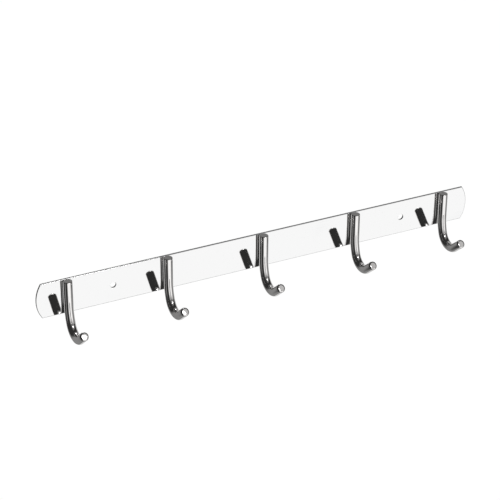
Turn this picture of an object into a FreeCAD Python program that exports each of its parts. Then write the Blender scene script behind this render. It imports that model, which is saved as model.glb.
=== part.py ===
import FreeCAD, Part

import math
import os

import Sketcher
from FreeCAD import Placement, Rotation, Vector

# A wall hook rack: a polished steel strip that is screwed flat to a wall, with a row of
# bent round-rod hooks held on its front face by countersunk screws from behind.
#
# Frame, in millimetres: the origin is the middle of the strip's back face, on the wall,
# midway between the two wall screw holes. +X runs along the strip, +Y goes into the wall,
# and +Z is up, so the hooks stand out towards -Y.

DOC = FreeCAD.newDocument("wall_hook_rack")

# Driving dimensions: alias, value, meaning.
DIMENSIONS = (
    ("plate_length", 400.0, "strip, from the middle of one curved end to the other"),
    ("plate_height", 31.0, "strip, from bottom edge to top edge"),
    ("plate_thickness", 1.5, "strip"),
    ("end_bulge", 4.6, "how far a curved end stands out past its corners"),
    ("edge_break", 0.3, "bevel that breaks the edge of the strip's front outline"),
    ("wall_hole_diameter", 5.2, "hole for a 4.5 to 5 mm wall screw"),
    ("wall_hole_spacing", 268.0, "from one wall screw hole to the other"),
    ("hook_count", 5.0, "hooks in the row"),
    ("hook_pitch", 87.0, "from one hook to the next"),
    ("rod_diameter", 7.5, "hook rod"),
    ("rod_top_drop", 0.0, "rod's top below the strip's top edge"),
    ("rod_top_round", 0.5, "rounding of the rod's cut top"),
    ("seat_depth", 0.1, "flat ground along the back of the rod, to seat on the strip"),
    ("bend_start", 9.5, "start of the upper bend above the strip's bottom edge"),
    ("upper_bend_radius", 44.0, "rod centreline, where it leaves the strip"),
    ("upper_bend_angle", 21.0, "degrees"),
    ("lower_bend_radius", 12.4, "rod centreline, round the bottom of the hook"),
    ("lower_bend_angle", 110.0, "degrees"),
    ("arm_length", 13.2, "straight rising arm, to the tip of the hook"),
    ("tip_round", 1.6, "rounding of the rim of the tip"),
    ("screw_spacing", 12.0, "between the two screws that hold one hook"),
    ("screw_diameter", 3.0, "M3 thread, modelled as a plain cylinder"),
    ("screw_length", 6.0, "countersunk screw, over its head"),
    ("head_diameter", 5.5, "countersunk head"),
    ("head_angle", 90.0, "degrees, head and countersink"),
    ("head_recess", 0.1, "screw head below the strip's back face"),
    ("thread_play", 0.03, "between the screw's plain thread and its hole, on the radius"),
    ("plate_hole_play", 0.2, "between the screw and its hole in the strip, on the radius"),
    ("tip_space", 1.0, "tapped hole past the end of the screw"),
    ("socket_size", 2.0, "hexagon socket, across its flats"),
    ("socket_depth", 1.1, "hexagon socket"),
)

# The rod's axis in front of the wall, as an expression.
AXIS_TO_WALL = "Sheet.plate_thickness + Sheet.rod_diameter / 2 - Sheet.seat_depth"

NEAR = 0.01  # mm, within this two places are the same
LEAST_CUT = 1.0  # mm3, a cut that takes less has gone the wrong way

SHEET = DOC.addObject("Spreadsheet::Sheet", "Sheet")
for row, (alias, value, meaning) in enumerate(DIMENSIONS, start=1):
    SHEET.set("A%d" % row, alias)
    SHEET.set("B%d" % row, str(value))
    SHEET.set("C%d" % row, meaning)
    SHEET.setAlias("B%d" % row, alias)
DOC.recompute()


def size(alias):
    """Value of one driving dimension, in millimetres or degrees."""
    return float(SHEET.get(alias))


def origin_plane(body, role):
    """One of a body's own origin planes, such as XY_Plane."""
    for feature in body.Origin.OriginFeatures:
        if feature.Role == role:
            return feature
    raise ValueError("no origin plane " + role)


def new_body(name):
    """An empty body whose label names its file."""
    body = DOC.addObject("PartDesign::Body", name)
    body.Label = name
    return body


def new_sketch(body, name, role, offset=None):
    """A sketch on one of the body's origin planes; offset is an expression along its normal."""
    sketch = body.newObject("Sketcher::SketchObject", name)
    sketch.AttachmentSupport = [(origin_plane(body, role), "")]
    sketch.MapMode = "FlatFace"
    if offset is not None:
        sketch.setExpression(".AttachmentOffset.Base.z", offset)
    DOC.recompute()
    return sketch


def line(start, end):
    """A sketch line between two (x, y) points."""
    return Part.LineSegment(Vector(start[0], start[1], 0), Vector(end[0], end[1], 0))


def add_bound(sketch, name, expression, kind, *values):
    """Add a sketch constraint, name it and tie it to the spreadsheet."""
    index = sketch.addConstraint(Sketcher.Constraint(kind, *values))
    sketch.renameConstraint(index, name)
    sketch.setExpression("Constraints." + name, expression)


def circle(centre, radius):
    """A sketch circle about an (x, y) point."""
    return Part.Circle(Vector(centre[0], centre[1], 0), Vector(0, 0, 1), radius)


def add_bound_circle(sketch, name, centre, diameter, across, up):
    """A circle whose diameter and place are expressions; it stays at mid-height if up is None."""
    ring = sketch.addGeometry(circle(centre, size(diameter) / 2), False)
    add_bound(sketch, name + "_diameter", "Sheet." + diameter, "Diameter", ring, size(diameter))
    add_bound(sketch, name + "_across", across, "DistanceX", -1, 1, ring, 3, centre[0])
    if up is None:
        sketch.addConstraint(Sketcher.Constraint("PointOnObject", ring, 3, -1))
    else:
        add_bound(sketch, name + "_up", up, "DistanceY", -1, 1, ring, 3, centre[1])


def cuts_into(cut, base):
    """True when a cut has taken material from the feature before it."""
    return cut.Shape.Volume < base.Shape.Volume - LEAST_CUT


# ---------------------------------------------------------------------- the strip
def draw_plate_outline(body):
    """The bound sketch of the strip: straight top and bottom edges and convex arc ends."""
    corner_x = size("plate_length") / 2 - size("end_bulge")
    bulge_x = size("plate_length") / 2
    half_height = size("plate_height") / 2
    outline = new_sketch(body, "plate_outline", "XZ_Plane")
    top = outline.addGeometry(line((-corner_x, half_height), (corner_x, half_height)), False)
    bottom = outline.addGeometry(line((corner_x, -half_height), (-corner_x, -half_height)), False)
    right = outline.addGeometry(Part.Arc(Vector(corner_x, half_height, 0), Vector(bulge_x, 0, 0),
                                         Vector(corner_x, -half_height, 0)), False)
    left = outline.addGeometry(Part.Arc(Vector(-corner_x, -half_height, 0), Vector(-bulge_x, 0, 0),
                                        Vector(-corner_x, half_height, 0)), False)
    for arc in (right, left):
        for end in (1, 2):
            point = outline.getPoint(arc, end)
            edge = top if point.y > 0 else bottom
            edge_end = 1 if (outline.getPoint(edge, 1) - point).Length < half_height else 2
            outline.addConstraint(Sketcher.Constraint("Coincident", arc, end, edge, edge_end))
    outline.addConstraint(Sketcher.Constraint("Symmetric", top, 1, top, 2, -2))
    outline.addConstraint(Sketcher.Constraint("Symmetric", bottom, 1, bottom, 2, -2))
    outline.addConstraint(Sketcher.Constraint("Symmetric", top, 2, bottom, 1, -1))
    add_bound(outline, "straight_length", "Sheet.plate_length - 2 * Sheet.end_bulge",
              "DistanceX", top, 1, top, 2, 2 * corner_x)
    add_bound(outline, "height", "Sheet.plate_height",
              "DistanceY", bottom, 1, top, 2, 2 * half_height)
    end_radius = "(Sheet.plate_height ^ 2 / 4 + Sheet.end_bulge ^ 2) / (2 * Sheet.end_bulge)"
    for name, arc in (("right", right), ("left", left)):
        add_bound(outline, name + "_end_radius", end_radius,
                  "Radius", arc, outline.Geometry[arc].Radius)
    return outline


def break_front_edge(body, plate):
    """Bevel the outline of the strip's front face."""
    front_y = -size("plate_thickness")
    rim = ["Edge%d" % (i + 1) for i, edge in enumerate(plate.Shape.Edges)
           if abs(edge.BoundBox.YMin - front_y) < NEAR and abs(edge.BoundBox.YMax - front_y) < NEAR]
    bevel = body.newObject("PartDesign::Chamfer", "front_edge")
    bevel.Base = (plate, rim)
    bevel.setExpression("Size", "Sheet.edge_break")
    DOC.recompute()


def cut_wall_holes(body):
    """The two plain holes that take the wall screws, at mid-height."""
    wall_holes = new_sketch(body, "wall_holes", "XZ_Plane")
    for name, side in (("left", -1), ("right", 1)):
        add_bound_circle(wall_holes, name, (side * size("wall_hole_spacing") / 2, 0),
                         "wall_hole_diameter", "%d * Sheet.wall_hole_spacing / 2" % side, None)
    cut = body.newObject("PartDesign::Pocket", "wall_hole_cut")
    cut.Profile = wall_holes
    cut.Type = 1
    cut.Midplane = True
    DOC.recompute()
    return cut


def sink_hook_screw_holes(body, plate):
    """A countersunk hole for every hook screw, opening at the back face."""
    places = new_sketch(body, "hook_screw_places", "XZ_Plane")
    first_x = -(size("hook_count") - 1) / 2 * size("hook_pitch")
    for name, side in (("upper", 1), ("lower", -1)):
        add_bound_circle(places, name, (first_x, side * size("screw_spacing") / 2), "screw_diameter",
                         "-(Sheet.hook_count - 1) / 2 * Sheet.hook_pitch",
                         "%d * Sheet.screw_spacing / 2" % side)
    DOC.recompute()
    hole = body.newObject("PartDesign::Hole", "hook_screw_hole")
    hole.Profile = places
    hole.ThreadType = "None"
    hole.DepthType = "ThroughAll"
    hole.HoleCutType = "Countersink"
    hole.HoleCutCustomValues = True
    hole.setExpression("Diameter", "Sheet.screw_diameter + 2 * Sheet.plate_hole_play")
    hole.setExpression("HoleCutDiameter",
                       "Sheet.head_diameter + 2 * Sheet.head_recess * tan(Sheet.head_angle / 2)")
    hole.setExpression("HoleCutCountersinkAngle", "Sheet.head_angle")
    DOC.recompute()
    if not cuts_into(hole, plate) or not countersunk_at_back(hole.Shape):
        hole.Reversed = True
        DOC.recompute()

    row = body.newObject("PartDesign::LinearPattern", "hook_screw_row")
    row.Originals = [hole]
    row.Direction = (places, ["H_Axis"])
    row.setExpression("Length", "(Sheet.hook_count - 1) * Sheet.hook_pitch")
    row.setExpression("Occurrences", "Sheet.hook_count")
    body.Tip = row
    DOC.recompute()


def build_back_plate():
    """The strip, with its wall screw holes and its countersunk hook screw holes."""
    body = new_body("back_plate")
    plate = body.newObject("PartDesign::Pad", "plate_pad")
    plate.Profile = draw_plate_outline(body)
    plate.setExpression("Length", "Sheet.plate_thickness")
    DOC.recompute()
    if plate.Shape.BoundBox.YMax > NEAR:
        plate.Reversed = True
        DOC.recompute()
    break_front_edge(body, plate)
    sink_hook_screw_holes(body, cut_wall_holes(body))
    return body


def countersunk_at_back(shape):
    """True when the cones of the screw holes open at the back face, Y = 0."""
    cones = [face for face in shape.Faces if face.Surface.TypeId == "Part::GeomCone"]
    return bool(cones) and all(face.BoundBox.YMax > -NEAR for face in cones)


# ---------------------------------------------------------------------- a hook
def rod_path():
    """Points and arc centres of the rod's centreline, as (y, z) from the hook's own origin."""
    axis_y = -(size("plate_thickness") + size("rod_diameter") / 2 - size("seat_depth"))
    top_z = size("plate_height") / 2 - size("rod_top_drop")
    turn = 0.0
    point = Vector(axis_y, -size("plate_height") / 2 + size("bend_start"), 0)
    points = [Vector(axis_y, top_z, 0), point]
    centres = []
    for radius, angle in ((size("upper_bend_radius"), size("upper_bend_angle")),
                          (size("lower_bend_radius"), size("lower_bend_angle"))):
        centre = point + Vector(-math.cos(turn), math.sin(turn), 0) * radius
        turn += math.radians(angle)
        point = centre + Vector(math.cos(turn), -math.sin(turn), 0) * radius
        centres.append(centre)
        points.append(point)
    points.append(point + Vector(-math.sin(turn), -math.cos(turn), 0) * size("arm_length"))
    return points, centres


def draw_rod_path(body):
    """The bound sketch of the centreline: seat, upper bend, lower bend and arm."""
    points, centres = rod_path()
    sketch = new_sketch(body, "rod_path", "YZ_Plane")
    seat = sketch.addGeometry(line(points[0], points[1]), False)
    bends = []
    for start, end, centre in zip(points[1:3], points[2:4], centres):
        radius = (start - centre).Length
        start_angle = math.atan2(start.y - centre.y, start.x - centre.x)
        end_angle = math.atan2(end.y - centre.y, end.x - centre.x)
        bends.append(sketch.addGeometry(
            Part.ArcOfCircle(Part.Circle(centre, Vector(0, 0, 1), radius), end_angle, start_angle), False))
    upper, lower = bends
    arm = sketch.addGeometry(line(points[3], points[4]), False)
    # An arc runs anticlockwise, so each bend ends (2) where the rod enters it.
    sketch.addConstraint(Sketcher.Constraint("Tangent", seat, 2, upper, 2))
    sketch.addConstraint(Sketcher.Constraint("Tangent", upper, 1, lower, 2))
    sketch.addConstraint(Sketcher.Constraint("Tangent", lower, 1, arm, 1))
    sketch.addConstraint(Sketcher.Constraint("Vertical", seat))
    add_bound(sketch, "axis_to_wall", AXIS_TO_WALL, "DistanceX", seat, 1, -1, 1, -points[0].x)
    add_bound(sketch, "top_height", "Sheet.plate_height / 2 - Sheet.rod_top_drop",
              "DistanceY", -1, 1, seat, 1, points[0].y)
    add_bound(sketch, "bend_drop", "Sheet.plate_height / 2 - Sheet.bend_start",
              "DistanceY", seat, 2, -1, 1, -points[1].y)
    for name, bend in (("upper", upper), ("lower", lower)):
        add_bound(sketch, name + "_radius", "Sheet." + name + "_bend_radius",
                  "Radius", bend, size(name + "_bend_radius"))
    turn = math.radians(size("upper_bend_angle"))
    add_bound(sketch, "upper_drop", "Sheet.upper_bend_radius * sin(Sheet.upper_bend_angle)",
              "DistanceY", upper, 1, upper, 2, size("upper_bend_radius") * math.sin(turn))
    turn += math.radians(size("lower_bend_angle"))
    add_bound(sketch, "arm_reach",
              "Sheet.arm_length * sin(Sheet.upper_bend_angle + Sheet.lower_bend_angle)",
              "DistanceX", arm, 2, arm, 1, size("arm_length") * math.sin(turn))
    add_bound(sketch, "arm_rise",
              "-Sheet.arm_length * cos(Sheet.upper_bend_angle + Sheet.lower_bend_angle)",
              "DistanceY", arm, 1, arm, 2, -size("arm_length") * math.cos(turn))
    DOC.recompute()
    return sketch


def sweep_rod(body):
    """The plain rod: its round section carried along the centreline."""
    path = draw_rod_path(body)
    section = new_sketch(body, "rod_section", "XY_Plane", "Sheet.plate_height / 2 - Sheet.rod_top_drop")
    axis_y = rod_path()[0][0].x
    ring = section.addGeometry(circle((0, axis_y), size("rod_diameter") / 2), False)
    section.addConstraint(Sketcher.Constraint("PointOnObject", ring, 3, -2))
    add_bound(section, "diameter", "Sheet.rod_diameter", "Diameter", ring, size("rod_diameter"))
    add_bound(section, "axis_to_wall", AXIS_TO_WALL, "DistanceY", ring, 3, -1, 1, -axis_y)
    DOC.recompute()
    rod = body.newObject("PartDesign::AdditivePipe", "rod")
    rod.Profile = section
    rod.Spine = (path, [])
    DOC.recompute()
    return rod


def round_end(body, base, name, end, radius):
    """Round the rim of the rod's end at (y, z) point end; radius is the alias of a dimension."""
    centre = Vector(0, end.x, end.y)
    rim = ["Edge%d" % (i + 1) for i, edge in enumerate(base.Shape.Edges)
           if edge.Curve.TypeId == "Part::GeomCircle"
           and abs(edge.Curve.Radius - size("rod_diameter") / 2) < NEAR
           and (edge.Curve.Center - centre).Length < NEAR]
    rounded = body.newObject("PartDesign::Fillet", name)
    rounded.Base = (base, rim)
    rounded.setExpression("Radius", "Sheet." + radius)
    DOC.recompute()
    return rounded


def grind_seat(body):
    """Take away all of the rod that is behind the strip's front face."""
    seat = new_sketch(body, "seat", "YZ_Plane")
    high = size("plate_height") / 2
    thick = size("plate_thickness")
    corners = ((-thick, -high), (0, -high), (0, high), (-thick, high))
    sides = [seat.addGeometry(line(corners[i], corners[(i + 1) % 4]), False) for i in range(4)]
    for i in range(4):
        seat.addConstraint(Sketcher.Constraint("Coincident", sides[i], 2, sides[(i + 1) % 4], 1))
    for i, direction in enumerate(("Horizontal", "Vertical", "Horizontal", "Vertical")):
        seat.addConstraint(Sketcher.Constraint(direction, sides[i]))
    seat.addConstraint(Sketcher.Constraint("PointOnObject", sides[1], 1, -2))
    add_bound(seat, "thickness", "Sheet.plate_thickness", "DistanceX", sides[0], 1, sides[0], 2, thick)
    add_bound(seat, "bottom", "Sheet.plate_height / 2", "DistanceY", sides[0], 2, -1, 1, high)
    add_bound(seat, "top", "Sheet.plate_height / 2", "DistanceY", -1, 1, sides[2], 1, high)
    ground = body.newObject("PartDesign::Pocket", "seat_cut")
    ground.Profile = seat
    ground.Type = 1
    ground.Midplane = True
    DOC.recompute()
    return ground


def tap_screw_holes(body, ground):
    """The two blind holes in the back of the rod that the hook's screws turn into."""
    places = new_sketch(body, "tapped_places", "XZ_Plane", "Sheet.plate_thickness")
    radius = size("screw_diameter") / 2
    for name, side in (("upper", 1), ("lower", -1)):
        height = side * size("screw_spacing") / 2
        ring = places.addGeometry(circle((0, height), radius), False)
        places.addConstraint(Sketcher.Constraint("PointOnObject", ring, 3, -2))
        add_bound(places, name + "_radius", "Sheet.screw_diameter / 2 + Sheet.thread_play",
                  "Radius", ring, radius)
        add_bound(places, name + "_height", "%d * Sheet.screw_spacing / 2" % side,
                  "DistanceY", -1, 1, ring, 3, height)
    tapped = body.newObject("PartDesign::Pocket", "tapped_holes")
    tapped.Profile = places
    tapped.Type = 0
    tapped.setExpression("Length", "Sheet.head_recess + Sheet.screw_length + Sheet.tip_space"
                                   " - Sheet.plate_thickness")
    DOC.recompute()
    if not cuts_into(tapped, ground):
        tapped.Reversed = True
        DOC.recompute()


def build_hook(number):
    """One hook of the row, numbered from the left as seen from the front."""
    body = new_body("hook_%d" % number)
    body.setExpression(".Placement.Base.x",
                       "(%d - (Sheet.hook_count - 1) / 2) * Sheet.hook_pitch" % (number - 1))
    top, tip = rod_path()[0][0], rod_path()[0][-1]
    rounded_tip = round_end(body, sweep_rod(body), "tip", tip, "tip_round")
    round_end(body, rounded_tip, "cut_top", top, "rod_top_round")
    tap_screw_holes(body, grind_seat(body))
    return body


# ---------------------------------------------------------------------- a screw pair
def build_screw():
    """A countersunk socket screw along -Y, its head in the strip's back face."""
    head_r = size("head_diameter") / 2
    shank_r = size("screw_diameter") / 2
    back = -size("head_recess")
    head_depth = (head_r - shank_r) / math.tan(math.radians(size("head_angle") / 2))
    outline = [Vector(0, back, 0), Vector(head_r, back, 0), Vector(shank_r, back - head_depth, 0),
               Vector(shank_r, back - size("screw_length"), 0), Vector(0, back - size("screw_length"), 0)]
    profile = Part.Face(Part.makePolygon(outline + outline[:1]))
    screw = profile.revolve(Vector(0, 0, 0), Vector(0, 1, 0), 360)
    corner = size("socket_size") / math.sqrt(3)
    hexagon = [Vector(corner * math.cos(math.radians(60 * i)), back, corner * math.sin(math.radians(60 * i)))
               for i in range(6)]
    socket = Part.Face(Part.makePolygon(hexagon + hexagon[:1])).extrude(Vector(0, -size("socket_depth"), 0))
    return screw.cut(socket)


def build_hook_screws(number):
    """The pair of screws that holds one hook, as one feature of two solids."""
    x = (number - 1 - (size("hook_count") - 1) / 2) * size("hook_pitch")
    screw = build_screw()
    pair = []
    for side in (1, -1):
        copy = screw.copy()
        copy.translate(Vector(0, 0, side * size("screw_spacing") / 2))
        pair.append(copy)
    feature = DOC.addObject("Part::Feature", "hook_%d_screws" % number)
    feature.Label = feature.Name
    feature.Shape = Part.makeCompound(pair)
    feature.Placement = Placement(Vector(x, 0, 0), Rotation())
    return feature


def check(parts):
    """Stop on any failed object or bad shape, before anything is written."""
    DOC.recompute()
    for item in DOC.Objects:
        if "Invalid" in item.State or "Error" in item.State:
            raise RuntimeError("%s failed: %s" % (item.Name, item.State))
    for part in parts:
        if part.Shape.isNull() or not part.Shape.isValid():
            raise RuntimeError("bad shape: " + part.Label)


def main():
    """Build the rack, check it and write one STEP file for each sub-part."""
    numbers = range(1, int(size("hook_count")) + 1)
    parts = [build_back_plate()]
    parts += [build_hook(number) for number in numbers]
    parts += [build_hook_screws(number) for number in numbers]
    check(parts)
    os.makedirs("parts", exist_ok=True)
    for part in parts:
        part.Shape.exportStep("parts/%s.step" % part.Label)
        box = part.Shape.BoundBox
        print("%-16s %d solid(s) %9.1f mm3  x %.2f..%.2f  y %.2f..%.2f  z %.2f..%.2f" % (
            part.Label, len(part.Shape.Solids), part.Shape.Volume,
            box.XMin, box.XMax, box.YMin, box.YMax, box.ZMin, box.ZMax))


main()
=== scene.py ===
import logging
import math
from collections.abc import Callable, Sequence
from dataclasses import dataclass, field
from enum import Enum

import bmesh
import bpy
from mathutils import Matrix, Vector


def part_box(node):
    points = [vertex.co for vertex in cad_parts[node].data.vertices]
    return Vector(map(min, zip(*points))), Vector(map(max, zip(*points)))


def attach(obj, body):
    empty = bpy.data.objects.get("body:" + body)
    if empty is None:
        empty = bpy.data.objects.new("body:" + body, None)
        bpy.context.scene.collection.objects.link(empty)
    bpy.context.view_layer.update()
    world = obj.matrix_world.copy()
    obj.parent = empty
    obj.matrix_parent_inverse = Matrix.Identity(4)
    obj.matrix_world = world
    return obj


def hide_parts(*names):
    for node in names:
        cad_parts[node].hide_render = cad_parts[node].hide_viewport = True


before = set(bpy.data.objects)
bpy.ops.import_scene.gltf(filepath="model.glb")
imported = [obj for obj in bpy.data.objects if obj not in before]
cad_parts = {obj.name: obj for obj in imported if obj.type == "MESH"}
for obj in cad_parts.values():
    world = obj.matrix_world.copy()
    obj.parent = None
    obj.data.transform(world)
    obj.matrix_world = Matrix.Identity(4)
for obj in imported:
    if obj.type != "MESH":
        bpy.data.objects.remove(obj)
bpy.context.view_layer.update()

# A wall hook rack: a polished strip, five bent-rod hooks and the countersunk screws that
# hold them from behind. Metres; X along the strip, Y into the wall, Z up.

SMOOTH_ANGLE = math.radians(40)
LOG = logging.getLogger("wall_hook_rack")
NEAR = 1e-5  # metres, within this two places are the same
FLAT = 0.9999  # a face whose normal has this much of an axis faces along it
BODY = "root"
HOOK_COUNT = 5


class Slot(Enum):
    """The record's material slots."""

    PLATE = "plate_steel"
    HOOK = "hook_steel"
    SCREW = "screw_steel"


# ------------------------------------------------------------------------ shader building
class Wire:
    """A shader socket that takes part in Python arithmetic, one Math node for each step."""

    def __init__(self, board: "Board", socket: bpy.types.NodeSocket) -> None:
        """Wrap a socket of the board's node tree."""
        self.board = board
        self.socket = socket

    def _math(self, operation: str, *terms: "Wire | float") -> "Wire":
        """Add a Math node that works on the terms."""
        return self.board.add("ShaderNodeMath", {"operation": operation}, dict(enumerate(terms)))

    def __add__(self, other: "Wire | float") -> "Wire":
        """Sum."""
        return self._math("ADD", self, other)

    def __radd__(self, other: float) -> "Wire":
        """Sum with a plain number on the left."""
        return self._math("ADD", other, self)

    def __sub__(self, other: "Wire | float") -> "Wire":
        """Difference."""
        return self._math("SUBTRACT", self, other)

    def __rsub__(self, other: float) -> "Wire":
        """Difference from a plain number."""
        return self._math("SUBTRACT", other, self)

    def __mul__(self, other: "Wire | float") -> "Wire":
        """Product."""
        return self._math("MULTIPLY", self, other)

    def __rmul__(self, other: float) -> "Wire":
        """Product with a plain number on the left."""
        return self._math("MULTIPLY", other, self)

    def __truediv__(self, other: "Wire | float") -> "Wire":
        """Quotient."""
        return self._math("DIVIDE", self, other)

    def __neg__(self) -> "Wire":
        """Opposite value."""
        return self._math("MULTIPLY", self, -1.0)

    def call(self, operation: str, *others: "Wire | float") -> "Wire":
        """Any other Math operation, such as SINE or ARCTAN2, with this wire first."""
        return self._math(operation, self, *others)

    def ramp(self, start: float, end: float, low: float = 0.0, high: float = 1.0) -> "Wire":
        """Turn smoothly from one value to another.

        Args:
            start: Value of this wire where the turn begins.
            end: Value of this wire where it is done.
            low: Result before the turn.
            high: Result after it.

        Returns:
            The turned value.
        """
        settings = {"interpolation_type": "SMOOTHSTEP"}
        if start > end:
            start, end, low, high = end, start, high, low
        values = {"Value": self, "From Min": start, "From Max": end, "To Min": low, "To Max": high}
        return self.board.add("ShaderNodeMapRange", settings, values)

    def band(self, low: float, high: float, soft: float) -> "Wire":
        """A mask that is 1 between low and high, with edges as wide as soft."""
        half = soft / 2
        return self.ramp(low - half, low + half) * self.ramp(high + half, high - half)


class Board:
    """A node tree with one way to add any node."""

    def __init__(self, tree: bpy.types.NodeTree) -> None:
        """Start on an empty tree."""
        self.tree = tree
        tree.nodes.clear()

    def node(self, kind: str, settings: dict | None = None, inputs: dict | None = None) -> bpy.types.Node:
        """Add a node.

        Args:
            kind: The node's type, such as ShaderNodeTexNoise.
            settings: The node's own properties, set before its sockets.
            inputs: A value or a Wire for each socket, by name or number.

        Returns:
            The new node.
        """
        made = self.tree.nodes.new(kind)
        for name, value in (settings or {}).items():
            setattr(made, name, value)
        for name, value in (inputs or {}).items():
            socket = made.inputs[name]
            if isinstance(value, Wire):
                self.tree.links.new(value.socket, socket)
            else:
                socket.default_value = value
        return made

    def add(self, kind: str, settings: dict | None = None, inputs: dict | None = None,
            output: int | str = 0) -> Wire:
        """Add a node and return one of its outputs as a Wire."""
        return Wire(self, self.node(kind, settings, inputs).outputs[output])

    def mix(self, factor: Wire, first: Sequence[float], second: Sequence[float]) -> Wire:
        """Blend two colours by a factor."""
        values = {0: factor, 6: (*first, 1.0), 7: (*second, 1.0)}
        return self.add("ShaderNodeMix", {"data_type": "RGBA"}, values, 2)

    def place(self) -> Wire:
        """The point's own place on the object, in metres."""
        return self.add("ShaderNodeTexCoord", output="Object")

    def split(self, vector: Wire) -> tuple[Wire, Wire, Wire]:
        """The three numbers of a vector."""
        made = self.node("ShaderNodeSeparateXYZ", inputs={0: vector})
        return Wire(self, made.outputs[0]), Wire(self, made.outputs[1]), Wire(self, made.outputs[2])

    def noise(self, vector: Wire, scale: float, detail: float, stretch: Sequence[float] = (1, 1, 1)) -> Wire:
        """Smooth noise from 0 to 1; stretch multiplies the scale along each axis."""
        spread = self.add("ShaderNodeMapping", inputs={"Vector": vector, "Scale": tuple(stretch)})
        return self.add("ShaderNodeTexNoise", inputs={"Vector": spread, "Scale": scale, "Detail": detail})


# ------------------------------------------------------------------------ finishes
@dataclass(frozen=True)
class MirrorSteel:
    """Mirror-polished stainless sheet: faint polishing lines along the strip, slight waviness."""

    name: str = "mirror_polished_strip"
    colour: tuple[float, float, float] = (0.905, 0.905, 0.905)
    dull_colour: tuple[float, float, float] = (0.87, 0.87, 0.875)
    roughness: float = 0.035
    haze: float = 0.03
    line_scale: float = 900.0
    line_stretch: tuple[float, float, float] = (0.02, 1.0, 1.0)
    line_height: float = 0.0000004
    cloud_scale: float = 28.0
    wave_scale: float = 22.0
    wave_height: float = 0.00002

    def material(self) -> bpy.types.Material:
        """Make the material."""
        made = bpy.data.materials.new(self.name)
        made.use_nodes = True
        board = Board(made.node_tree)
        place = board.place()
        lines = board.noise(place, self.line_scale, 3.0, self.line_stretch)
        cloud = board.noise(place, self.cloud_scale, 4.0)
        waves = board.noise(place, self.wave_scale, 1.0)
        smear = cloud.ramp(0.55, 0.8) * lines.ramp(0.35, 0.75)
        colour = board.mix(smear, self.colour, self.dull_colour)
        roughness = self.roughness + smear * self.haze
        relief = board.add("ShaderNodeBump", {}, {
            "Height": waves * self.wave_height + lines * self.line_height,
            "Distance": 1.0, "Strength": 1.0})
        shader = board.add("ShaderNodeBsdfPrincipled", inputs={
            "Base Color": colour, "Metallic": 1.0, "Roughness": roughness, "Normal": relief})
        board.node("ShaderNodeOutputMaterial", inputs={"Surface": shader})
        return made


@dataclass(frozen=True)
class PolishedRod:
    """Polished stainless rod: warmer than the strip, with faint draw lines and hammer haze."""

    name: str = "polished_rod"
    colour: tuple[float, float, float] = (0.90, 0.885, 0.875)
    dull_colour: tuple[float, float, float] = (0.80, 0.785, 0.775)
    roughness: float = 0.05
    haze: float = 0.05
    grain_scale: float = 2600.0
    grain_stretch: tuple[float, float, float] = (1.0, 1.0, 0.06)
    grain_haze: float = 0.02
    dent_scale: float = 160.0
    dent_height: float = 0.00003
    cloud_scale: float = 120.0

    def material(self) -> bpy.types.Material:
        """Make the material."""
        made = bpy.data.materials.new(self.name)
        made.use_nodes = True
        board = Board(made.node_tree)
        place = board.place()
        grain = board.noise(place, self.grain_scale, 3.0, self.grain_stretch)
        dents = board.noise(place, self.dent_scale, 1.0)
        cloud = board.noise(place, self.cloud_scale, 4.0)
        smear = cloud.ramp(0.45, 0.75)
        colour = board.mix(smear, self.colour, self.dull_colour)
        roughness = self.roughness + smear * self.haze + grain * self.grain_haze
        relief = board.add("ShaderNodeBump", {}, {
            "Height": dents * self.dent_height, "Distance": 1.0, "Strength": 1.0})
        shader = board.add("ShaderNodeBsdfPrincipled", inputs={
            "Base Color": colour, "Metallic": 1.0, "Roughness": roughness, "Normal": relief})
        board.node("ShaderNodeOutputMaterial", inputs={"Surface": shader})
        return made


@dataclass(frozen=True)
class TurnedSteel:
    """Plain stainless of the screws, with the rings that turning leaves about each screw's axis."""

    pitch: float
    screw_height: float
    name: str = "turned_screw_steel"
    colour: tuple[float, float, float] = (0.62, 0.62, 0.63)
    dark_colour: tuple[float, float, float] = (0.42, 0.42, 0.43)
    ring_spacing: float = 0.00022
    ring_height: float = 0.000008
    roughness: float = 0.2
    ring_haze: float = 0.08
    grime_haze: float = 0.22
    grime_scale: float = 700.0

    def material(self) -> bpy.types.Material:
        """Make the material."""
        made = bpy.data.materials.new(self.name)
        made.use_nodes = True
        board = Board(made.node_tree)
        place = board.place()
        across, _, up = board.split(place)
        from_axis_x = across.call("WRAP", self.pitch / 2, -self.pitch / 2)
        from_axis_z = up.call("ABSOLUTE") - self.screw_height
        radius = (from_axis_x * from_axis_x + from_axis_z * from_axis_z).call("SQRT")
        rings = (radius * (2 * math.pi / self.ring_spacing)).call("SINE") * 0.5 + 0.5
        grime = board.noise(place, self.grime_scale, 4.0).ramp(0.5, 0.72)
        colour = board.mix(grime, self.colour, self.dark_colour)
        roughness = self.roughness + rings * self.ring_haze + grime * self.grime_haze
        relief = board.add("ShaderNodeBump", {}, {
            "Height": rings * self.ring_height, "Distance": 1.0, "Strength": 0.6})
        shader = board.add("ShaderNodeBsdfPrincipled", inputs={
            "Base Color": colour, "Metallic": 1.0, "Roughness": roughness, "Normal": relief})
        board.node("ShaderNodeOutputMaterial", inputs={"Surface": shader})
        return made


@dataclass(frozen=True)
class PaleFloor:
    """The studio's lit white table top, with a faint paper tooth."""

    name: str = "pale_floor"
    glow: float = 1.02

    def material(self) -> bpy.types.Material:
        """Make the material."""
        made = bpy.data.materials.new(self.name)
        made.use_nodes = True
        board = Board(made.node_tree)
        tooth = board.noise(board.place(), 3.0, 4.0)
        colour = board.mix(tooth, (0.99, 0.99, 0.99), (1.0, 1.0, 1.0))
        light = board.add("ShaderNodeEmission", inputs={"Color": colour, "Strength": self.glow})
        board.node("ShaderNodeOutputMaterial", inputs={"Surface": light})
        return made


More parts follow.
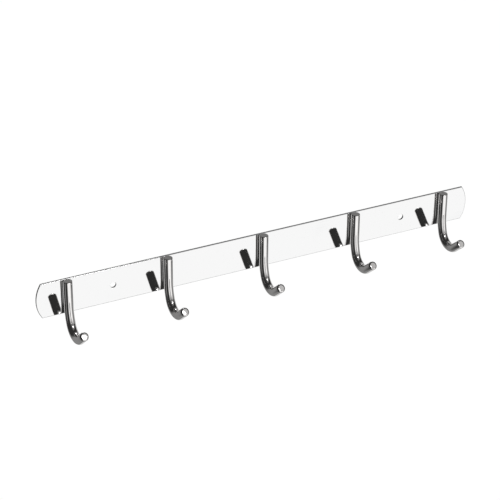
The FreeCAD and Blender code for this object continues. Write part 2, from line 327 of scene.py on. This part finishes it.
# ------------------------------------------------------------------------ mesh helpers
def deselect_all() -> None:
    """Leave nothing selected, in object mode."""
    if bpy.context.object is not None and bpy.context.object.mode != "OBJECT":
        close_mesh()
    bpy.ops.object.select_all(action="DESELECT")


def work_on(piece: bpy.types.Object) -> None:
    """Make one object the only selected and the active one."""
    deselect_all()
    piece.select_set(True)
    bpy.context.view_layer.objects.active = piece


def open_mesh(piece: bpy.types.Object) -> None:
    """Edit one object, by its vertices, with all of it selected."""
    work_on(piece)
    bpy.ops.object.mode_set(mode="EDIT")
    bpy.ops.mesh.select_mode(type="VERT")
    bpy.ops.mesh.select_all(action="SELECT")


def close_mesh() -> None:
    """Go back to object mode."""
    bpy.ops.object.mode_set(mode="OBJECT")


def settle(piece: bpy.types.Object, name: str) -> None:
    """Put an object's place into its mesh and name it."""
    work_on(piece)
    bpy.ops.object.transform_apply(location=True, rotation=True, scale=True)
    piece.name = name
    piece.data.name = name


def pick(piece: bpy.types.Object, kind: str, test: Callable[[object], bool]) -> int:
    """Select the mesh elements that pass a test, and nothing else, in edit mode.

    Args:
        piece: The object that is being edited.
        kind: VERT, EDGE or FACE.
        test: Says whether one element is wanted.

    Returns:
        How many were selected.
    """
    bpy.ops.mesh.select_mode(type=kind)
    bpy.ops.mesh.select_all(action="DESELECT")
    shape = bmesh.from_edit_mesh(piece.data)
    elements = {"VERT": shape.verts, "EDGE": shape.edges, "FACE": shape.faces}[kind]
    chosen = [element for element in elements if test(element)]
    for element in chosen:
        element.select_set(True)
    shape.select_flush_mode()
    bmesh.update_edit_mesh(piece.data)
    return len(chosen)


def move_on(value: Sequence[float]) -> None:
    """Extrude the selection and move what is new."""
    bpy.ops.mesh.extrude_region_move(TRANSFORM_OT_translate={"value": tuple(value)})


def tidy_surface() -> None:
    """Merge doubles and point all faces outwards, in edit mode."""
    bpy.ops.mesh.select_all(action="SELECT")
    bpy.ops.mesh.remove_doubles(threshold=NEAR / 20)
    bpy.ops.mesh.normals_make_consistent(inside=False)


def cut_away(piece: bpy.types.Object, cutters: Sequence[bpy.types.Object]) -> None:
    """Subtract all the cutters from a piece in one cut, and throw them away."""
    deselect_all()
    for cutter in cutters:
        cutter.select_set(True)
    bpy.context.view_layer.objects.active = cutters[0]
    bpy.ops.object.join()
    tool = bpy.context.object
    work_on(piece)
    cut = piece.modifiers.new("cut", "BOOLEAN")
    cut.operation = "DIFFERENCE"
    cut.solver = "EXACT"
    cut.object = tool
    bpy.ops.object.modifier_apply(modifier=cut.name)
    bpy.data.objects.remove(tool)


def finish_piece(piece: bpy.types.Object, material: bpy.types.Material,
                 node: str) -> None:
    """Dress a piece and tie it to the frame.

    Args:
        piece: The finished mesh object.
        material: What it is made of.
        node: The CAD node that it stands for.
    """
    piece.data.materials.clear()
    piece.data.materials.append(material)
    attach(piece, BODY)
    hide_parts(node)
    LOG.info("%s: %d faces, stands for %s", piece.name, len(piece.data.polygons), node)


# ------------------------------------------------------------------------ sub-assemblies
@dataclass
class BackPlate:
    """The strip, its two wall screw holes and its countersunk hook screw holes."""

    hook_places: Sequence[float]
    end_bulge: float = 0.0046
    edge_round: float = 0.0005
    wall_hole_radius: float = 0.0026
    wall_hole_spacing: float = 0.268
    rim_round: float = 0.00012
    screw_spacing: float = 0.012
    screw_hole_radius: float = 0.0017
    countersink_radius: float = 0.00285
    arc_steps: int = 360
    low: Vector = field(init=False)
    high: Vector = field(init=False)

    def __post_init__(self) -> None:
        """Read the strip's box from the frame."""
        self.low, self.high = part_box("back_plate")

    @property
    def thickness(self) -> float:
        """Sheet thickness."""
        return self.high.y - self.low.y

    def build(self) -> bpy.types.Object:
        """Model the strip.

        Returns:
            The finished mesh object.
        """
        plate = self._outline()
        self._give_thickness(plate)
        self._divide(plate)
        cutters = [self._drill(side * self.wall_hole_spacing / 2) for side in (-1, 1)]
        cutters += [self._countersink(x, side * self.screw_spacing / 2)
                    for x in self.hook_places for side in (-1, 1)]
        cut_away(plate, cutters)
        self._break_hole_rims(plate)
        self._shade(plate)
        return plate

    def _outline(self) -> bpy.types.Object:
        """The flat back face: two arc ends joined by the straight edges."""
        half_height = self.high.z
        radius = (half_height ** 2 + self.end_bulge ** 2) / (2 * self.end_bulge)
        corner_x = self.high.x - self.end_bulge
        ends = []
        for side in (1, -1):
            bpy.ops.mesh.primitive_circle_add(
                vertices=self.arc_steps, radius=radius, fill_type="NOTHING",
                location=(side * (self.high.x - radius), 0, 0), rotation=(math.pi / 2, 0, 0))
            end = bpy.context.object
            settle(end, "arc_end")
            open_mesh(end)
            for place, outward in (((0, 0, half_height), (0, 0, 1)), ((0, 0, -half_height), (0, 0, -1)),
                                   ((side * corner_x, 0, 0), (-side, 0, 0))):
                bpy.ops.mesh.select_all(action="SELECT")
                bpy.ops.mesh.bisect(plane_co=place, plane_no=outward, clear_outer=True,
                                    threshold=NEAR / 100)
            close_mesh()
            ends.append(end)
        deselect_all()
        for end in ends:
            end.select_set(True)
        bpy.context.view_layer.objects.active = ends[0]
        bpy.ops.object.join()
        plate = bpy.context.object
        settle(plate, "strip")
        open_mesh(plate)
        for side in (1, -1):
            pick(plate, "VERT", lambda v: v.co.z * side > half_height - NEAR)
            bpy.ops.mesh.edge_face_add()
        bpy.ops.mesh.select_all(action="SELECT")
        bpy.ops.mesh.edge_face_add()
        close_mesh()
        return plate

    def _give_thickness(self, plate: bpy.types.Object) -> None:
        """Extrude the face to the sheet's front and round the front outline."""
        open_mesh(plate)
        move_on((0, -self.thickness, 0))
        tidy_surface()
        front = self.low.y
        pick(plate, "EDGE", lambda e: all(abs(v.co.y - front) < NEAR for v in e.verts))
        bpy.ops.mesh.bevel(offset=self.edge_round, segments=4, profile=0.5, affect="EDGES")
        close_mesh()

    def _drill(self, x: float) -> bpy.types.Object:
        """A cutter for the plain wall screw hole at one place along the strip."""
        bpy.ops.mesh.primitive_cylinder_add(
            vertices=64, radius=self.wall_hole_radius, depth=3 * self.thickness,
            location=(x, -self.thickness / 2, 0), rotation=(math.pi / 2, 0, 0))
        settle(bpy.context.object, "drill")
        return bpy.context.object

    def _countersink(self, x: float, z: float) -> bpy.types.Object:
        """A stepped cutter for one hook screw: its shank's hole, then the 90 degree seat of its head."""
        start = -2 * self.thickness
        seat = self.screw_hole_radius - self.countersink_radius
        bpy.ops.mesh.primitive_circle_add(
            vertices=64, radius=self.screw_hole_radius, fill_type="NGON",
            location=(x, start, z), rotation=(math.pi / 2, 0, 0))
        cutter = bpy.context.object
        settle(cutter, "countersink")
        open_mesh(cutter)
        move_on((0, seat - start, 0))
        past = self.thickness
        move_on((0, past - seat, 0))
        widened = (self.countersink_radius + past) / self.screw_hole_radius
        bpy.ops.transform.resize(value=(widened, 1, widened), center_override=(x, past, z))
        tidy_surface()
        close_mesh()
        return cutter

    def _break_hole_rims(self, plate: bpy.types.Object) -> None:
        """Take the sharpness off the front rims of the wall screw holes."""
        front = self.low.y
        middle = self.wall_hole_spacing / 2

        def on_rim(edge: bmesh.types.BMEdge) -> bool:
            """True on the front circle of a wall screw hole."""
            return all(abs(v.co.y - front) < NEAR
                       and abs(math.hypot(abs(v.co.x) - middle, v.co.z) - self.wall_hole_radius) < NEAR
                       for v in edge.verts)

        open_mesh(plate)
        pick(plate, "EDGE", on_rim)
        bpy.ops.mesh.bevel(offset=self.rim_round, segments=3, profile=0.5, affect="EDGES")
        close_mesh()

    def _divide(self, plate: bpy.types.Object) -> None:
        """Cut the long flat faces into cells with one hole in each, so that they hold no slivers."""
        quarter = (self.hook_places[1] - self.hook_places[0]) / 4
        cuts = [((x + side * quarter, 0, 0), (1, 0, 0)) for x in self.hook_places for side in (-1, 1)]
        open_mesh(plate)
        for place, across in cuts + [((0, 0, 0), (0, 0, 1))]:
            bpy.ops.mesh.select_all(action="SELECT")
            bpy.ops.mesh.bisect(plane_co=place, plane_no=across, threshold=NEAR / 100)
        close_mesh()

    def _shade(self, plate: bpy.types.Object) -> None:
        """Smooth the rounded edges and keep the front and back faces flat."""
        work_on(plate)
        bpy.ops.object.shade_smooth_by_angle(angle=SMOOTH_ANGLE)
        open_mesh(plate)
        pick(plate, "FACE", lambda f: abs(f.normal.y) > FLAT)
        bpy.ops.mesh.faces_shade_flat()
        close_mesh()


@dataclass
class Hook:
    """One bent-rod hook: seat on the strip, two bends, rising arm and rounded tip."""

    number: int
    strip_front: float
    straight_end: float = -0.006
    upper_radius: float = 0.044
    upper_angle: float = 21.0
    lower_radius: float = 0.0124
    lower_angle: float = 110.0
    arm_length: float = 0.0132
    tip_round: float = 0.0016
    top_round: float = 0.0005
    seat_depth: float = 0.0001
    hole_spacing: float = 0.012
    hole_radius: float = 0.00153
    hole_depth: float = 0.0056
    around: int = 96
    degrees_per_step: float = 2.0
    low: Vector = field(init=False)
    high: Vector = field(init=False)
    arm_end: Vector = field(init=False)

    def __post_init__(self) -> None:
        """Read the hook's box from the frame."""
        self.low, self.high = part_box(self.node)

    @property
    def node(self) -> str:
        """The CAD node's name."""
        return f"hook_{self.number}"

    @property
    def centre_x(self) -> float:
        """The hook's place along the strip."""
        return (self.low.x + self.high.x) / 2

    @property
    def rod_radius(self) -> float:
        """Half the rod's width."""
        return round((self.high.x - self.low.x) / 2, 5)

    @property
    def axis_y(self) -> float:
        """Where the rod's axis stands in front of the wall."""
        return self.strip_front - self.rod_radius + self.seat_depth

    def build(self) -> bpy.types.Object:
        """Model the hook.

        Returns:
            The finished mesh object.
        """
        hook = self._bend_rod()
        self._close_ends(hook)
        self._grind_seat(hook)
        cut_away(hook, [self._tap(side) for side in (-1, 1)])
        self._shade(hook)
        return hook

    def _bend_rod(self) -> bpy.types.Object:
        """The open tube of the rod's surface, from its cut top to the end of its arm."""
        bpy.ops.mesh.primitive_circle_add(
            vertices=self.around, radius=self.rod_radius, fill_type="NOTHING",
            location=(self.centre_x, self.axis_y, self.high.z))
        hook = bpy.context.object
        settle(hook, f"hook_{self.number}_rod")
        open_mesh(hook)
        move_on((0, 0, self.straight_end - self.high.z))
        point = Vector((self.centre_x, self.axis_y, self.straight_end))
        turned = 0.0
        for radius, angle in ((self.upper_radius, self.upper_angle), (self.lower_radius, self.lower_angle)):
            centre = point - Vector((0, math.cos(turned), -math.sin(turned))) * radius
            bpy.ops.mesh.spin(steps=round(angle / self.degrees_per_step), angle=math.radians(angle),
                              center=centre, axis=(1, 0, 0), dupli=False)
            turned += math.radians(angle)
            point = centre + Vector((0, math.cos(turned), -math.sin(turned))) * radius
        self.arm_end = point + self.arm_direction * self.arm_length
        move_on(self.arm_direction * self.arm_length)
        return hook

    @property
    def arm_direction(self) -> Vector:
        """The way that the rising arm points."""
        turned = math.radians(self.upper_angle + self.lower_angle)
        return Vector((0, -math.sin(turned), -math.cos(turned)))

    def _close_ends(self, hook: bpy.types.Object) -> None:
        """Cap both ends and round their rims."""
        way = self.arm_direction

        def at_tip(vertex: bmesh.types.BMVert) -> bool:
            """True on the last ring of the arm."""
            return abs((vertex.co - self.arm_end).dot(way)) < NEAR

        def at_top(vertex: bmesh.types.BMVert) -> bool:
            """True on the first ring, at the cut top."""
            return abs(vertex.co.z - self.high.z) < NEAR

        for on_ring, rounding, steps in ((at_tip, self.tip_round, 8), (at_top, self.top_round, 5)):
            pick(hook, "VERT", on_ring)
            bpy.ops.mesh.edge_face_add()
            pick(hook, "EDGE", lambda e: all(on_ring(v) for v in e.verts))
            bpy.ops.mesh.bevel(offset=rounding, segments=steps, profile=0.5, affect="EDGES",
                               clamp_overlap=False)
        tidy_surface()
        close_mesh()

    def _grind_seat(self, hook: bpy.types.Object) -> None:
        """Cut the flat along the back of the rod where it seats on the strip."""
        open_mesh(hook)
        bpy.ops.mesh.bisect(plane_co=(0, self.strip_front, 0), plane_no=(0, 1, 0),
                            use_fill=True, clear_outer=True, threshold=NEAR / 100)
        tidy_surface()
        close_mesh()

    def _tap(self, side: int) -> bpy.types.Object:
        """A cutter for one tapped hole, the upper (1) or the lower (-1)."""
        bpy.ops.mesh.primitive_cylinder_add(
            vertices=48, radius=self.hole_radius, depth=2 * self.hole_depth,
            location=(self.centre_x, self.strip_front, side * self.hole_spacing / 2),
            rotation=(math.pi / 2, 0, 0))
        settle(bpy.context.object, "tap")
        return bpy.context.object

    def _shade(self, hook: bpy.types.Object) -> None:
        """Smooth the rod and keep its cut top and seat flat."""
        work_on(hook)
        bpy.ops.object.shade_smooth_by_angle(angle=SMOOTH_ANGLE)
        open_mesh(hook)
        pick(hook, "FACE", lambda f: f.normal.z > FLAT or f.normal.y > FLAT)
        bpy.ops.mesh.faces_shade_flat()
        close_mesh()


@dataclass
class HookScrew:
    """One countersunk socket screw, driven from behind the strip."""

    hook_number: int
    side: int
    centre_x: float
    spacing: float = 0.012
    recess: float = 0.0001
    head_radius: float = 0.00275
    shank_radius: float = 0.0015
    root_radius: float = 0.00122
    length: float = 0.006
    thread_pitch: float = 0.0005
    socket_size: float = 0.002
    socket_depth: float = 0.0011
    around: int = 48

    @property
    def node(self) -> str:
        """The CAD node's name."""
        return f"hook_{self.hook_number}_screws"

    @property
    def axis(self) -> Vector:
        """A point on the screw's axis, at the strip's back face."""
        return Vector((self.centre_x, 0, self.side * self.spacing / 2))

    def build(self) -> bpy.types.Object:
        """Model the screw.

        Returns:
            The finished mesh object.
        """
        where = "upper" if self.side > 0 else "lower"
        bpy.ops.mesh.primitive_circle_add(
            vertices=self.around, radius=self.head_radius, fill_type="NOTHING",
            location=self.axis - Vector((0, self.recess, 0)), rotation=(math.pi / 2, 0, 0))
        screw = bpy.context.object
        settle(screw, f"hook_{self.hook_number}_{where}_screw")
        open_mesh(screw)
        self._cone_and_thread()
        self._socket(screw)
        tidy_surface()
        close_mesh()
        bpy.ops.object.shade_smooth_by_angle(angle=math.radians(30))
        return screw

    def _step(self, forward: float, scale: float) -> None:
        """Carry the selected ring along the screw and scale it about the axis."""
        move_on((0, -forward, 0))
        bpy.ops.transform.resize(value=(scale, 1, scale), center_override=tuple(self.axis))

    def _cone_and_thread(self) -> None:
        """The head's cone, the thread's crests and roots, and the flat end."""
        depth = self.head_radius - self.shank_radius
        self._step(depth, self.shank_radius / self.head_radius)
        self._step(self.thread_pitch / 2, 1.0)
        turns = int((self.length - depth - self.thread_pitch) / self.thread_pitch)
        shrink = self.root_radius / self.shank_radius
        for _ in range(turns):
            self._step(self.thread_pitch / 2, shrink)
            self._step(self.thread_pitch / 2, 1 / shrink)
        done = depth + self.thread_pitch / 2 + turns * self.thread_pitch
        self._step(self.length - done, shrink)
        bpy.ops.mesh.edge_face_add()

    def _socket(self, screw: bpy.types.Object) -> None:
        """The flat of the head round a hexagon socket."""
        back = -self.recess
        corner = self.socket_size / math.sqrt(3)
        bpy.ops.mesh.select_all(action="DESELECT")
        bpy.ops.mesh.primitive_circle_add(
            vertices=6, radius=corner, fill_type="NOTHING",
            location=self.axis + Vector((0, back, 0)), rotation=(math.pi / 2, 0, 0))
        bpy.ops.mesh.subdivide(number_cuts=self.around // 6 - 1)
        rim = self.head_radius

        def on_mouth(vertex: bmesh.types.BMVert) -> bool:
            """True on the socket's hexagon in the head's face."""
            flat = vertex.co - self.axis
            return abs(vertex.co.y - back) < NEAR and math.hypot(flat.x, flat.z) < corner + NEAR

        def on_face(vertex: bmesh.types.BMVert) -> bool:
            """True on the hexagon and on the head's own rim."""
            flat = vertex.co - self.axis
            reach = math.hypot(flat.x, flat.z)
            return abs(vertex.co.y - back) < NEAR and (reach < corner + NEAR or abs(reach - rim) < NEAR)

        pick(screw, "EDGE", lambda e: all(on_face(v) for v in e.verts))
        bpy.ops.mesh.bridge_edge_loops()
        pick(screw, "EDGE", lambda e: all(on_mouth(v) for v in e.verts))
        move_on((0, -self.socket_depth, 0))
        bpy.ops.mesh.edge_face_add()


@dataclass(frozen=True)
class Card:
    """A soft-edged card round the rack, by azimuth and elevation in degrees; azimuth 0 is in front."""

    left: float
    right: float
    bottom: float
    top: float
    soft: float
    glow: float

    def strength(self, azimuth: Wire, elevation: Wire) -> Wire:
        """How brightly the card glows in a direction.

        Args:
            azimuth: The direction's azimuth.
            elevation: The direction's elevation.

        Returns:
            The glow, 0 off the card.
        """
        across = azimuth.band(self.left, self.right, self.soft)
        return across * elevation.band(self.bottom, self.top, self.soft) * self.glow


CARDS = {
    "front": Card(left=-28, right=48, bottom=-50, top=6, soft=24, glow=1.0),
    "over_front": Card(left=-28, right=52, bottom=12, top=80, soft=16, glow=0.14),
    "reflector": Card(left=22, right=52, bottom=20, top=60, soft=8, glow=0.36),
    "back_above": Card(left=118, right=200, bottom=20, top=50, soft=12, glow=0.16),
    "right_side": Card(left=56, right=92, bottom=-64, top=2, soft=16, glow=0.2),
    "backdrop": Card(left=98, right=170, bottom=-84, top=8, soft=24, glow=0.62),
    "far_corner": Card(left=-195, right=-140, bottom=-84, top=14, soft=24, glow=0.22),
    "left_strip": Card(left=-94, right=-80, bottom=-32, top=-14, soft=6, glow=0.28),
}


@dataclass
class Studio:
    """Pale floor, soft cards all round for the metal to mirror, one lamp and the camera."""

    base_glow: float = 0.03
    seen_glow: float = 1.02
    floor_height: float = -1.6
    floor_size: float = 120.0
    aim: tuple[float, float, float] = (-0.01704, -0.01362, 0.00986)
    distance: float = 1.5
    yaw: float = 26.44
    pitch: float = 28.89
    roll: float = 0.256
    lens: float = 131.2
    lamp_direction: tuple[float, float, float] = (0.192, -0.718, 0.669)
    lamp_distance: float = 2.5
    lamp_size: float = 0.6
    lamp_power: float = 7.0

    def build(self) -> None:
        """Set the whole studio up."""
        self._floor()
        self._surroundings()
        self._lamp()
        self._camera()
        bpy.context.scene.view_settings.view_transform = "Standard"

    def _floor(self) -> None:
        """A wide pale floor, lit evenly, that the polished parts don't mirror."""
        deselect_all()
        bpy.ops.mesh.primitive_plane_add(size=self.floor_size, location=(0, 0, self.floor_height))
        floor = bpy.context.object
        settle(floor, "floor")
        floor.data.materials.append(PaleFloor().material())
        floor.visible_glossy = False

    def _surroundings(self) -> None:
        """What the polished metal mirrors: the cards, and darkness between them."""
        world = bpy.data.worlds.new("studio")
        bpy.context.scene.world = world
        world.use_nodes = True
        board = Board(world.node_tree)
        way = board.add("ShaderNodeTexCoord", output="Generated")
        x, y, z = board.split(way)
        azimuth = x.call("ARCTAN2", -y) * (180 / math.pi)
        elevation = z.call("ARCSINE") * (180 / math.pi)
        strength = sum((card.strength(azimuth, elevation) for card in CARDS.values()), self.base_glow)
        seen = board.add("ShaderNodeLightPath", output="Is Camera Ray")
        strength = strength * (1 - seen) + seen * self.seen_glow
        light = board.add("ShaderNodeBackground", inputs={"Color": (1, 1, 1, 1), "Strength": strength})
        board.node("ShaderNodeOutputWorld", inputs={"Surface": light})

    def _lamp(self) -> None:
        """A small soft box high in front."""
        way = Vector(self.lamp_direction).normalized()
        place = way * self.lamp_distance
        bpy.ops.object.light_add(type="AREA", location=place,
                                 rotation=way.to_track_quat("Z", "Y").to_euler())
        lamp = bpy.context.object
        lamp.name = "soft_box"
        lamp.data.shape = "DISK"
        lamp.data.size = self.lamp_size
        lamp.data.energy = self.lamp_power

    def _camera(self) -> None:
        """The camera, above and to the left, turned a little about its own axis."""
        yaw, pitch = math.radians(self.yaw), math.radians(self.pitch)
        forward = Vector((math.sin(yaw) * math.cos(pitch), math.cos(yaw) * math.cos(pitch),
                          -math.sin(pitch)))
        turn = forward.to_track_quat("-Z", "Y").to_matrix()
        turn = turn @ Matrix.Rotation(math.radians(self.roll), 3, "Z")
        bpy.ops.object.camera_add(location=Vector(self.aim) - forward * self.distance,
                                  rotation=turn.to_euler())
        camera = bpy.context.object
        camera.data.lens = self.lens
        bpy.context.scene.camera = camera


# ------------------------------------------------------------------------ assembly
def main() -> None:
    """Build the rack on the CAD frame, dress it and set the studio up."""
    logging.basicConfig(level=logging.INFO, format="%(message)s")
    deselect_all()
    strip_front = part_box("back_plate")[0].y
    hooks = [Hook(number, strip_front) for number in range(1, HOOK_COUNT + 1)]
    places = [hook.centre_x for hook in hooks]

    plate = BackPlate(places)
    finish_piece(plate.build(), MirrorSteel().material(), "back_plate")

    rod_steel = PolishedRod().material()
    for hook in hooks:
        finish_piece(hook.build(), rod_steel, hook.node)

    pitch = places[1] - places[0]
    screw_steel = TurnedSteel(pitch, plate.screw_spacing / 2).material()
    for hook in hooks:
        for side in (1, -1):
            screw = HookScrew(hook.number, side, hook.centre_x)
            finish_piece(screw.build(), screw_steel, screw.node)

    Studio().build()


if __name__ == "__main__":
    main()
